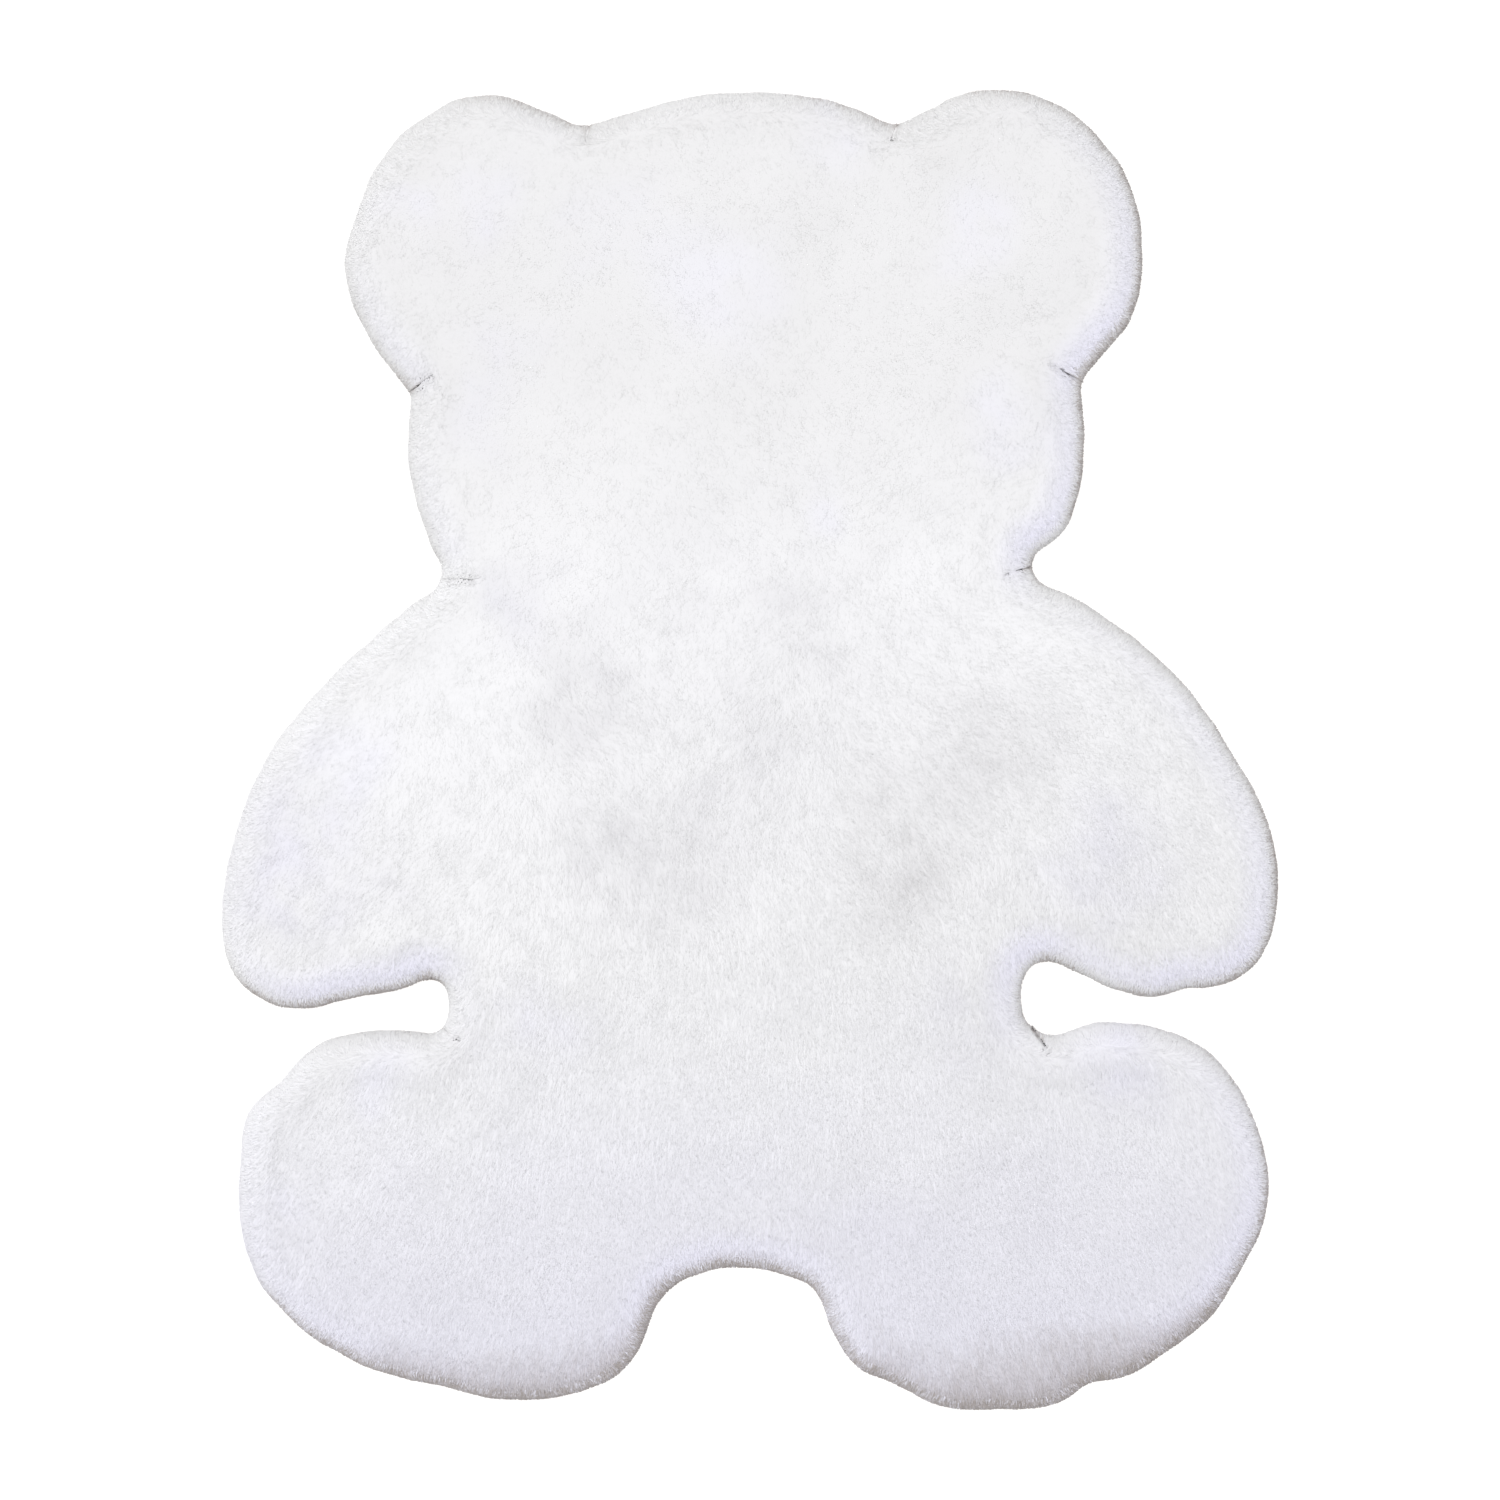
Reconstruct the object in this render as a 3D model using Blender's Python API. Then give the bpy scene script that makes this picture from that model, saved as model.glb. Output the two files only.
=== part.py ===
"""A bear-shaped plush rug: one lumpy slab of pile, flat beneath, with locks all round its rim.

The rug lies on the floor with its middle at the origin. Its ears point to +Y and its feet to -Y.
The outline is a smooth closed curve through named places. The rim is a zigzag of short locks that
follows that curve, and the pile's top is a net of points whose height depends on how far in from
the rim they lie, on low rounded lumps, and on the partings where two lobes of the outline meet.
"""

import random

import bmesh
import bpy
import numpy as np
from mathutils import Vector, noise
from mathutils.geometry import delaunay_2d_cdt

# Driving dimensions, in metres.
WIDTH = 0.800  # paw to paw
LENGTH = 1.000  # ears to feet
PILE_TOP = 0.0245  # mean height of the pile's top above the floor
RIM_HEIGHT = 0.0080  # height of the widest line of the rim
RIM_ROUND = 0.032  # how far in from the rim the pile reaches its full height
RIM_FULLNESS = 1.7  # 1 is a straight slope up from the rim, 2 a quarter of an ellipse
BASE_INSET = 0.0085  # how far the flat underside stops short of the rim

# Rim locks: each has a tip, a back that runs inwards from it, and a gap on either side.
LOCKS = 290
LOCK_BACK = 0.0100  # length of a lock's back
GAP_DEPTH = 0.0038  # a gap is set in from the rim by up to this
TIP_SHORTFALL = 0.0018  # the shortest tip is set in from the rim by this
TIP_DROP = 0.0030  # the lowest tip hangs this far below the gaps
BACK_RISE = 0.0018  # the highest back stands this much above the rim's slope
GAP_FALL = 0.0034  # the deepest gap lies this much below the rim's slope
LOCK_UNEVEN = 0.35  # share by which the locks differ in width
LOCK_SMALLEST = 0.4  # the smallest lock's relief, as a share of the largest one's
RIM_WAVE = 0.0010  # slow waves of the rim, in or out
RIM_WAVELENGTH = 0.045
BASE_SMOOTHING = 6  # passes that take the locks' unevenness out of the underside's edge

# Net of points on the pile's top: rings that follow the rim, then a field that fills the middle.
RINGS = (
    # inset    pitch
    (0.0190, 0.0120),
    (0.0315, 0.0165),
)
FIELD_PITCH = 0.020
ROW_SHARE = 3**0.5 / 2  # a row's distance from the next, as a share of the pitch, in even triangles
FIELD_JITTER = 0.18  # share of the pitch by which a point of the field is moved
FIELD_START = 0.0415  # the field keeps this far in from the rim
CROWDED = 0.6  # a point nearer to another than this share of its pitch is left out

# Lumps of the pile's top: height and wavelength of each size of lump.
LUMPS = (
    # height   wavelength
    (0.0038, 0.110),
    (0.0020, 0.048),
)

# Partings of the pile, as V-shaped grooves that fade out inwards.
PARTING_DEPTH = 0.010
PARTING_HALF_WIDTH = 0.0070
PARTING_STEPS = 4
PARTING_START = 0.0120  # its first points lie this far in from the rim

CURVE_STEPS = 16  # points of the outline curve from one place to the next
FINE_STEP = 0.0025  # spacing of the outline's points when distances to it are measured
WELD = 1e-7  # points of the net that are nearer to each other than this are one
INSIDE_RIM = 1  # the net's triangles are those inside the closed line of the rim
SEED = 11
MM = 0.001

# The plush: near white with a cool cast, and matt.
PLUSH_COLOUR = (0.80, 0.80, 0.83, 1.0)
PLUSH_ROUGHNESS = 0.95

# The pile's outline seen from above, clockwise from the crown. The columns are the place, then x
# and y in millimetres from the rug's middle. The curve has a corner at each place named a fold,
# where two lobes meet, and is smooth at every other place.
OUTLINE = (
    # place                  x     y
    ("crown left",         -42,  495),
    ("crown right",         44,  495),
    ("brow right",          79,  487),
    ("right ear fold in",  108,  471),
    ("right ear inside",   136,  485),
    ("right ear top in",   163,  498),
    ("right ear top out",  229,  491),
    ("right ear shoulder", 266,  462),
    ("right ear upper",    291,  420),
    ("right ear outer",    298,  379),
    ("right ear lower",    290,  327),
    ("right ear under",    267,  299),
    ("right ear fold out", 250,  277),
    ("right cheek",        254,  235),
    ("right jaw",          240,  168),
    ("right neck",         213,  138),
    ("right shoulder",     249,  115),
    ("right upper arm",    303,   76),
    ("right arm middle",   340,   37),
    ("right arm outer",    371,  -10),
    ("right forearm",      394,  -59),
    ("right paw widest",   400, -113),
    ("right paw outer",    391, -150),
    ("right paw corner",   369, -173),
    ("right paw end",      341, -181),
    ("right paw dent",     326, -181),
    ("right paw pad",      307, -187),
    ("right paw inner",    273, -180),
    ("right inner arm",    248, -168),
    ("right armpit upper", 218, -161),
    ("right armpit",       205, -186),
    ("right armpit lower", 220, -213),
    ("right thigh top",    263, -204),
    ("right thigh",        326, -214),
    ("right hip",          352, -231),
    ("right leg upper",    376, -264),
    ("right leg outer",    391, -306),
    ("right leg lower",    391, -350),
    ("right ankle",        375, -388),
    ("right heel",         347, -430),
    ("right heel lower",   315, -455),
    ("right toe",          272, -477),
    ("right toe fold",     256, -477),
    ("right sole outer",   238, -492),
    ("right sole",         189, -499),
    ("right sole inner",   136, -493),
    ("right sole step",    102, -475),
    ("right sole edge",     85, -470),
    ("right inner ankle",   63, -443),
    ("right inner leg",     49, -407),
    ("crotch right",        34, -399),
    ("crotch",               0, -391),
    ("crotch left",        -45, -398),
    ("left inner leg",     -67, -414),
    ("left inner ankle",   -86, -459),
    ("left sole inner",   -111, -479),
    ("left sole",         -189, -491),
    ("left sole outer",   -226, -483),
    ("left toe",          -302, -461),
    ("left heel",         -362, -415),
    ("left ankle",        -379, -386),
    ("left leg lower",    -387, -350),
    ("left leg outer",    -387, -315),
    ("left leg upper",    -378, -270),
    ("left hip",          -354, -248),
    ("left thigh outer",  -338, -229),
    ("left thigh",        -310, -215),
    ("left thigh top",    -253, -211),
    ("left armpit lower", -235, -213),
    ("left armpit",       -228, -189),
    ("left armpit upper", -236, -173),
    ("left inner arm",    -265, -182),
    ("left paw inner",    -300, -188),
    ("left paw end",      -341, -196),
    ("left paw corner",   -374, -186),
    ("left paw outer",    -393, -165),
    ("left paw widest",   -400, -136),
    ("left forearm",      -397,  -94),
    ("left arm outer",    -374,  -19),
    ("left arm middle",   -335,   37),
    ("left upper arm",    -263,  106),
    ("left neck",         -232,  133),
    ("left jaw",          -241,  152),
    ("left cheek",        -259,  216),
    ("left ear fold out", -256,  268),
    ("left ear lower",    -296,  324),
    ("left ear outer",    -307,  368),
    ("left ear upper",    -299,  403),
    ("left ear shoulder", -276,  452),
    ("left ear top out",  -246,  480),
    ("left ear top",      -206,  496),
    ("left ear inside",   -159,  486),
    ("left ear fold in",  -127,  471),
    ("brow left",          -83,  484),
)

# The columns are the outline's place where the parting starts, then x and y of its inner end in
# millimetres, and its depth as a share of PARTING_DEPTH.
PARTINGS = (
    # starts at                x     y   depth
    ("right ear fold in",    106,  458, 0.6),
    ("right ear fold out",   226,  293, 1.0),
    ("right neck",           190,  133, 0.8),
    ("right armpit upper",   208, -152, 0.5),
    ("right armpit lower",   226, -231, 0.8),
    ("crotch right",          55, -392, 0.5),
    ("crotch left",          -75, -393, 0.6),
    ("left armpit lower",   -222, -224, 0.8),
    ("left armpit upper",   -231, -160, 0.4),
    ("left neck",           -206,  129, 0.9),
    ("left ear fold out",   -238,  283, 0.9),
    ("left ear fold in",    -123,  456, 0.7),
)


def clear_scene():
    for item in list(bpy.data.objects):
        bpy.data.objects.remove(item, do_unlink=True)


def new_collection(name):
    collection = bpy.data.collections.new(name)
    bpy.context.scene.collection.children.link(collection)
    return collection


def outline_guide(collection):
    """The outline as a closed curve object, kept as a guide."""
    curve = bpy.data.curves.new("bear_outline", "CURVE")
    curve.dimensions = "2D"
    curve.fill_mode = "NONE"
    curve.resolution_u = CURVE_STEPS
    spline = curve.splines.new("BEZIER")
    spline.bezier_points.add(len(OUTLINE) - 1)
    spline.use_cyclic_u = True
    for knot, (place, x, y) in zip(spline.bezier_points, OUTLINE):
        knot.co = (x * MM, y * MM, 0.0)
        shape = "VECTOR" if " fold" in place else "AUTO"
        knot.handle_left_type = shape
        knot.handle_right_type = shape
    guide = bpy.data.objects.new("bear_outline", curve)
    guide.hide_render = True
    guide.display_type = "WIRE"
    collection.objects.link(guide)
    return guide


def curve_points(guide):
    """The points of the guide's curve, as it is drawn in the plane."""
    bpy.context.view_layer.update()
    graph = bpy.context.evaluated_depsgraph_get()
    mesh = bpy.data.meshes.new_from_object(guide.evaluated_get(graph))
    points = np.array([vertex.co[:2] for vertex in mesh.vertices])
    bpy.data.meshes.remove(mesh)
    return points


def lengths_along(points):
    """Distances along a closed line: one value for each point, then the whole length."""
    sides = np.linalg.norm(np.roll(points, -1, axis=0) - points, axis=1)
    return np.concatenate([[0.0], np.cumsum(sides)])


def points_at(points, stations):
    """The closed line's points at these distances along it."""
    closed = np.vstack([points, points[:1]])
    along = lengths_along(points)
    return np.column_stack([np.interp(stations, along, closed[:, axis]) for axis in (0, 1)])


def evenly_spaced(points, pitch):
    length = lengths_along(points)[-1]
    return points_at(points, np.linspace(0.0, length, round(length / pitch), endpoint=False))


def outward(points):
    """Unit vectors that point out of a clockwise line."""
    ahead = np.roll(points, -1, axis=0) - np.roll(points, 1, axis=0)
    normals = np.column_stack([-ahead[:, 1], ahead[:, 0]])
    return normals / np.linalg.norm(normals, axis=1, keepdims=True)


def smoothed(points, passes):
    for _ in range(passes):
        points = (np.roll(points, 1, axis=0) + 2 * points + np.roll(points, -1, axis=0)) / 4
    return points


def distance_to(points, line):
    """How far each point is from the nearest point of a line of close points."""
    gaps = points[:, None, :] - line[None, :, :]
    return np.sqrt((gaps**2).sum(axis=2).min(axis=1))


def inside(points, line):
    """True for each point that the closed line holds, by counting the sides to its right."""
    held = np.zeros(len(points), bool)
    for (x1, y1), (x2, y2) in zip(line, np.roll(line, -1, axis=0)):
        level = (points[:, 1] < y1) != (points[:, 1] < y2)
        if level.any():
            crossing = x1 + (points[:, 1] - y1) * (x2 - x1) / (y2 - y1)
            held ^= level & (points[:, 0] < crossing)
    return held


def lump_height(x, y):
    """The rise of the low rounded lumps at a place on the rug."""
    rise = 0.0
    for layer, (height, wavelength) in enumerate(LUMPS):
        rise += height * noise.noise(Vector((x / wavelength, y / wavelength, SEED + layer)))
    return rise


def slope_height(depth):
    """Height of the pile's top, without lumps, at a distance in from the rim."""
    share = np.clip(1.0 - depth / RIM_ROUND, 0.0, 1.0)
    rise = (1.0 - share**RIM_FULLNESS) ** (1.0 / RIM_FULLNESS)
    return RIM_HEIGHT + (PILE_TOP - RIM_HEIGHT) * rise


def parting_lines():
    """Each parting's start, end and depth, in metres."""
    places = {place: (x, y) for place, x, y in OUTLINE}
    return [
        (np.array(places[start]) * MM, np.array((x, y)) * MM, share * PARTING_DEPTH)
        for start, x, y, share in PARTINGS
    ]


def parting_drop(x, y):
    """How deep the partings lower the pile's top at a place on the rug."""
    point = np.array((x, y))
    drop = 0.0
    for start, end, depth in parting_lines():
        along = np.clip(np.dot(point - start, end - start) / np.dot(end - start, end - start), 0.0, 1.0)
        across = np.linalg.norm(point - start - along * (end - start)) / PARTING_HALF_WIDTH
        drop = max(drop, depth * (1.0 - along) * max(0.0, 1.0 - across))
    return drop


def parting_points(line):
    """Points down the bottom of each parting and along both its lips, clear of the rim's locks."""
    points = []
    for start, end, _ in parting_lines():
        way = (end - start) / np.linalg.norm(end - start)
        lip = np.array((-way[1], way[0])) * PARTING_HALF_WIDTH
        for step in range(1, PARTING_STEPS + 1):
            middle = start + (end - start) * step / PARTING_STEPS
            points += [middle, middle + lip, middle - lip]
    points = np.array(points)
    return points[inside(points, line) & (distance_to(points, line) > PARTING_START)]


def lock_stations(length, chance):
    """Distances along the rim of each lock's tip and of the gap after it, in turn."""
    widths = [1.0 + LOCK_UNEVEN * chance.uniform(-1.0, 1.0) for _ in range(2 * LOCKS)]
    ends = np.cumsum(widths)
    return np.concatenate([[0.0], ends[:-1]]) * length / ends[-1]


def rim_wave(stations, length):
    """Slow in-and-out waves of the rim, read round a circle so that they close on themselves."""
    turns = 2.0 * np.pi * stations / length
    radius = length / RIM_WAVELENGTH / (2.0 * np.pi)
    circle = np.column_stack([np.cos(turns), np.sin(turns)]) * radius
    return np.array([RIM_WAVE * noise.noise(Vector((x, y, SEED))) for x, y in circle])


def rim_rings(line, chance):
    """Three rings of paired points: the locks' outer ends, their backs, and the underside's edge."""
    length = lengths_along(line)[-1]
    stations = lock_stations(length, chance)
    rim = points_at(line, stations)
    normals = outward(rim)
    is_tip = np.arange(len(rim)) % 2 == 0
    size = np.array([chance.uniform(LOCK_SMALLEST, 1.0) for _ in rim])
    inset = np.where(is_tip, TIP_SHORTFALL * (1.0 - size), GAP_DEPTH * size)
    wave = rim_wave(stations, length)
    outer = rim - normals * (inset + wave)[:, None]
    outer_height = RIM_HEIGHT - np.where(is_tip, TIP_DROP * size, 0.0)
    backs = rim - normals * (LOCK_BACK + wave)[:, None]
    back_height = slope_height(LOCK_BACK) + size * np.where(is_tip, BACK_RISE, -GAP_FALL)
    base = smoothed(rim - normals * BASE_INSET, BASE_SMOOTHING)
    return (
        np.column_stack([outer, outer_height]),
        np.column_stack([backs, back_height]),
        np.column_stack([base, np.zeros(len(base))]),
    )


def with_room(points, taken, pitch):
    """The taken points, and after them each new one that isn't crowded by those before it."""
    for point in points:
        if np.linalg.norm(taken - point, axis=1).min() >= CROWDED * pitch:
            taken = np.vstack([taken, point])
    return taken


def ring_points(line, inset, pitch):
    """Points that follow the rim at one distance inside it."""
    ring = evenly_spaced(line, pitch)
    ring = ring - outward(ring) * inset
    return ring[distance_to(ring, line) > inset - FINE_STEP / 2]


def field_points(line, chance):
    """A staggered grid of slightly moved points over the rug's middle."""
    move = FIELD_JITTER * FIELD_PITCH
    row_pitch = FIELD_PITCH * ROW_SHARE
    points = []
    for row, y in enumerate(np.arange(-LENGTH / 2, LENGTH / 2, row_pitch)):
        for x in np.arange(-WIDTH / 2, WIDTH / 2, FIELD_PITCH) + (row % 2) * FIELD_PITCH / 2:
            points.append((x + chance.uniform(-move, move), y + chance.uniform(-move, move)))
    points = np.array(points)
    return points[inside(points, line) & (distance_to(points, line) > FIELD_START)]


def net_points(line, outer, backs, chance):
    """The net's points in the plane: the locks' ends, their backs, and then all the others."""
    points = np.vstack([outer, backs])[:, :2]
    points = with_room(parting_points(line), points, PARTING_HALF_WIDTH)
    for inset, pitch in RINGS:
        points = with_room(ring_points(line, inset, pitch), points, pitch)
    return with_room(field_points(line, chance), points, FIELD_PITCH)


def top_net(line, outer, backs, chance):
    """The corners and triangles of the pile's top, and for each corner its number in net_points."""
    count = len(outer)
    points = net_points(line, outer, backs, chance)
    round_the_rim = [(i, (i + 1) % count) for i in range(count)]
    down_the_backs = [(i, i + count) for i in range(count)]
    flat, _, triangles, sources, _, _ = delaunay_2d_cdt(
        [Vector(point) for point in points], round_the_rim + down_the_backs, [], INSIDE_RIM, WELD
    )
    numbers = [source[0] for source in sources]
    heights = slope_height(distance_to(points, line))
    heights[:count] = outer[:, 2]
    heights[count : 2 * count] = backs[:, 2]
    corners = []
    for number, (x, y) in zip(numbers, flat):
        height = heights[number]
        if number >= count:
            height -= parting_drop(x, y)
        if number >= 2 * count:
            height += lump_height(x, y)
        corners.append((x, y, height))
    return corners, triangles, numbers


def add_undercut(work, numbers, base):
    """Leads the rim down and inwards to the edge of the underside, and fills the underside."""
    work.verts.ensure_lookup_table()
    rim = {work.verts[corner]: number for corner, number in enumerate(numbers) if number < len(base)}
    rim_edges = [edge for edge in work.edges if edge.is_boundary]
    made = bmesh.ops.extrude_edge_only(work, edges=rim_edges)["geom"]
    for vertex in [item for item in made if isinstance(item, bmesh.types.BMVert)]:
        neighbours = [edge.other_vert(vertex) for edge in vertex.link_edges]
        above = next(neighbour for neighbour in neighbours if neighbour in rim)
        vertex.co = base[rim[above]]
    base_edges = [edge for edge in work.edges if edge.is_boundary]
    bmesh.ops.triangle_fill(work, use_beauty=True, use_dissolve=False, edges=base_edges)


def fit_to_size(work):
    """Centres the rug on the origin and gives it the driving width and length exactly."""
    places = np.array([vertex.co for vertex in work.verts])
    low, high = places.min(axis=0), places.max(axis=0)
    for vertex in work.verts:
        vertex.co.x = (vertex.co.x - (low[0] + high[0]) / 2) * WIDTH / (high[0] - low[0])
        vertex.co.y = (vertex.co.y - (low[1] + high[1]) / 2) * LENGTH / (high[1] - low[1])


def rug_mesh(line):
    """The closed mesh: the pile's top, the rim's undercut below the locks, and the flat underside."""
    chance = random.Random(SEED)
    outer, backs, base = rim_rings(line, chance)
    corners, triangles, numbers = top_net(line, outer, backs, chance)
    mesh = bpy.data.meshes.new("fur_rug")
    mesh.from_pydata(corners, [], triangles)
    work = bmesh.new()
    work.from_mesh(mesh)
    add_undercut(work, numbers, base)
    fit_to_size(work)
    bmesh.ops.triangulate(work, faces=work.faces)
    bmesh.ops.recalc_face_normals(work, faces=work.faces)
    work.to_mesh(mesh)
    work.free()
    return mesh


def plush_material():
    material = bpy.data.materials.new("white_plush")
    material.use_nodes = True
    surface = material.node_tree.nodes["Principled BSDF"]
    surface.inputs["Base Color"].default_value = PLUSH_COLOUR
    surface.inputs["Roughness"].default_value = PLUSH_ROUGHNESS
    surface.inputs["Metallic"].default_value = 0.0
    return material


def build():
    clear_scene()
    guide = outline_guide(new_collection("bear_rug_guides"))
    line = evenly_spaced(curve_points(guide), FINE_STEP)
    rug = bpy.data.objects.new("fur_rug", rug_mesh(line))
    rug.data.materials.append(plush_material())
    rug.data.shade_smooth()
    new_collection("bear_rug").objects.link(rug)


build()
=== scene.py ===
"""A bear-shaped plush rug seen from above: its ground cloth, the dense fur at the pile's foot, and
the locks of long pile that stand in it and spill over its rim.

The solid rug's rim gives the outline, and its top the height of the pile. Each lock is a slim
three-sided cone that leans with the pile's flow, and its tone, which holds painted shade and
painted light, comes from the place where it stands.
"""

import bmesh
import bpy
import numpy as np
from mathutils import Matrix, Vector
from mathutils.bvhtree import BVHTree
from mathutils.geometry import delaunay_2d_cdt
from mathutils.kdtree import KDTree


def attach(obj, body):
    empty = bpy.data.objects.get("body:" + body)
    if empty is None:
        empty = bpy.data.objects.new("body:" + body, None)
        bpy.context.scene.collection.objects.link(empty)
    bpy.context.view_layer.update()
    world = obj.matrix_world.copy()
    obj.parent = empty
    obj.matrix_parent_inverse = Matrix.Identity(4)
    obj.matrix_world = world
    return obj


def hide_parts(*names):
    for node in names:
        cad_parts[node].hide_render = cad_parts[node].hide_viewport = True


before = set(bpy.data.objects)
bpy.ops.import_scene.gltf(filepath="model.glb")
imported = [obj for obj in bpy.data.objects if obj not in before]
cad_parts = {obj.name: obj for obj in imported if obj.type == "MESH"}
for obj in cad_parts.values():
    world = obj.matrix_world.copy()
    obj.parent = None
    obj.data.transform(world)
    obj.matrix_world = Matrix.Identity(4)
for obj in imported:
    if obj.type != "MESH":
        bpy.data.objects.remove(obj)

MM = 0.001
SEED = 23

# The camera looks straight down on the rug.
CAMERA_HEIGHT = 4.0
SENSOR = 36.0  # millimetres
FRAME_WIDTH = 1.1355  # width of what the camera sees at the rim's height

# Light: a large soft panel beyond the left ear, and an even sky.
KEY_PLACE = (-2.82, 2.82, 6.92)
KEY_SIZE = 6.0
KEY_POWER = 384.0
SKY_COLOUR = (0.985, 0.985, 1.0, 1.0)
SKY_STRENGTH = 0.94
FLOOR_SIZE = 40.0
FLOOR_COLOURS = ((0.30, 0.30, 0.30, 1.0), (0.32, 0.32, 0.32, 1.0))
FLOOR_GLOW = (1.0, 0.985, 0.96, 1.0)
FLOOR_GLOW_STRENGTH = 0.90
FLOOR_GAP = 0.0002  # how far the floor lies below the rug

# The pile's outer form. It rolls over the rim a little more fully than the solid rug.
RIM_HEIGHT = 0.0080
PILE_TOP = 0.0245
RIM_ROUND = 0.030
RIM_FULLNESS = 1.95
BASE_INSET = 0.0085

WELD = 0.00001  # corners of the solid nearer than this are one, and lower ones on the floor
RIM_STEP = 0.0025  # spacing of the rim line's points
DEPTH_STEP = RIM_STEP / 2  # where distances in from the rim are measured
BASE_STEP = RIM_STEP * 2  # and round the ground cloth
RIM_SMOOTHING = 12  # passes that even out the solid's coarse locks
RIM_REACH = 0.0013  # how far the rim stands outside the middle of those locks
WAY_SMOOTHING = 2  # passes that even out the way that the rim looks
GRID_STEP = 0.002  # spacing of the fields' points
GRID_MARGIN = 0.012  # how far the fields reach past the rug
LAST_CELL = 1.001  # steps from their far end beyond which nothing is read
OUT_SMOOTHING = 4  # passes that even out the way out of the rug
TOP_SMOOTHING = 10  # passes that take the facets out of the solid's top
SLOPE_BLEND = (0.022, 0.040)  # distances in from the rim over which the solid's top takes over
CUT_INSIDE, SAME_PLACE = 1, 1e-7  # triangles lie inside the line, and nearer points are one

# Ground cloth.
CLOTH_THICKNESS = 0.0012
CLOTH_PITCH = 0.030

# Dense fur at the pile's foot.
MAT_DEPTH = (0.0001, 0.0005)  # how far it lies below the tips of loose and of laid locks
MAT_LAID = (0.36, -0.55)  # heights on the rug between which that changes
MAT_TURN = 0.4  # how far its way turns to the right
MAT_INSET = 0.0010  # how far its rim lies inside the locks' rim
MAT_BASE_INSET = 0.0100
MAT_RIM_HEIGHT = 0.0078
MAT_SMOOTHING = 3  # passes that even out its rim
MAT_SKIP = 2  # its rim and rings have each second point of the rim line
MAT_PITCH = 0.0052
MAT_JITTER = 0.25  # how far its inner points stray, as a share of that
MAT_RINGS = (0.0024, 0.0042, 0.0066, 0.0096)  # distances in of its points on the round rim
MAT_RIM_STRAY, MAT_RING_STRAY = 0.0012, 0.0005  # in a bay, points this far off are left out
MAT_ROUGHNESS = 0.00012  # height of its small lumps
MAT_LUMP = 0.0075  # and their size
MAT_CLEARANCE = 0.0002  # between it and the ground cloth
MAT_ALONG, MAT_OWN_TONE = 0.35, 0.5  # it has the tones of this place along a middling lock, with part of the painted shade at a root
UNDERSIDE_MAP = 0.18  # size of its underside on its map, as a share of its top's
UNDERSIDE_PLACE = (0.84, 0.0)  # and where that starts, beside the top

# Locks of the field.
LOCK_PITCH = 0.00184
LOCK_JITTER = 0.38  # share of the pitch
LOCK_ROOT_DEPTH = 0.0010
LOCK_RADIUS = (0.00095, 0.00130)
LOCK_FLATNESS = 0.70  # its thickness as a share of its width
LOCK_ROLL = 0.35  # how far it may be turned about itself, in radians
LOCK_ROUNDNESS = 0.04  # how far its own roundness shows in the light
LOCK_LEAN = (0.0036, 0.0072)  # how far a tip lies from over its root
LOW_LEAN, RIM_LEAN = 0.9, 0.7  # how much further it lies over at the feet, and at the rim
LOCK_RISE = (-0.0002, 0.0002)  # how far a tip stands above the pile's form
LOCK_MAP_RADIUS = 0.48  # its radius on its map, as a share of the pitch
LOCK_TONE_STRAY = 0.03  # how far their tones differ
FIELD_EDGE = 0.0045  # the field starts this far in from the rim
EDGE_LEAN = 0.85  # a tip's furthest lean, as a share of its root's distance from the rim
FLOW_SPREAD = 1.2  # how fast the flow fans out to both sides, in radians for a metre
FLOW_LAID = (0.36, -0.36)  # the pile lies in order below the second of these heights
SWIRL = 0.110  # size of the swirls of the pile's flow
SWIRLS = 1.4  # how far they turn it, in radians, where it is out of order
SWIRLS_LAID = 0.92  # share of that which is gone where it is in order
SMALL_SWIRL, SMALL_SWIRLS = 0.25, 0.3  # size and strength of smaller ones, as shares
FLOW_JITTER = (1.20, 0.20)  # how far a lock strays from it, out of order and in order
RADIAL_BAND = 0.030  # the flow turns outwards over this distance from the rim
RADIAL_PULL = 1.6  # how strongly it does at the rim itself
RADIAL_ORDER = 0.45  # and how much less a lock strays there
CLUMP = 0.0085  # size of the clumps that the tips draw together in
CLUMP_REACH = CLUMP / 8  # reach over which their slope is read
CLUMP_PULL, CLUMP_SLOPE = 0.0003, 0.5  # how far a tip is drawn in where they rise by this
FIELD_PIECES = ("fur_feet", "fur_belly", "fur_chest", "fur_head")

# Locks of the rim, in rows up its round profile. The columns are the distances along the profile
# from the floor at which a piece's rows start and end, the pitch of the rows and of the locks in
# them, their girth as a share of a field lock's, and how far their tips lie down the profile.
RIM_ROWS = (
    # piece               start   end     rows    locks   girth  least   most fall
    ("rim_locks_lower",  0.0020, 0.0110, 0.0026, 0.0026, 1.05, 0.0035, 0.0080),
    ("rim_locks_middle", 0.0110, 0.0200, 0.0018, 0.0017, 0.72, 0.0045, 0.0110),
    ("rim_locks_upper",  0.0200, 0.0290, 0.0018, 0.0017, 0.72, 0.0050, 0.0120),
)
RIM_TAPER = 0.80  # girth of a rim lock halfway, as a share of that at its root
RIM_ROOT_DEPTH = 0.0050
RIM_CROWDING = 0.0009  # in a bay, locks this far off their place are left out
RIM_TIP_SPREAD = 0.0007  # how far its tip stands off the profile, at most
RIM_SIDE = 0.0018  # how far its tip strays along the rim
RIM_SIDE_SPREAD = 0.5  # share of that for a single tip
RIM_SWAY, RIM_SWAY_SIZE = 0.8, 0.011  # for neighbours together, and over what length
RIM_WAVE, RIM_WAVE_SIZE = 0.0004, 0.013  # and how far they stand off
RIM_JITTER = (0.40, 0.45)  # how far a lock strays along and up, as shares of the pitches
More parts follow.
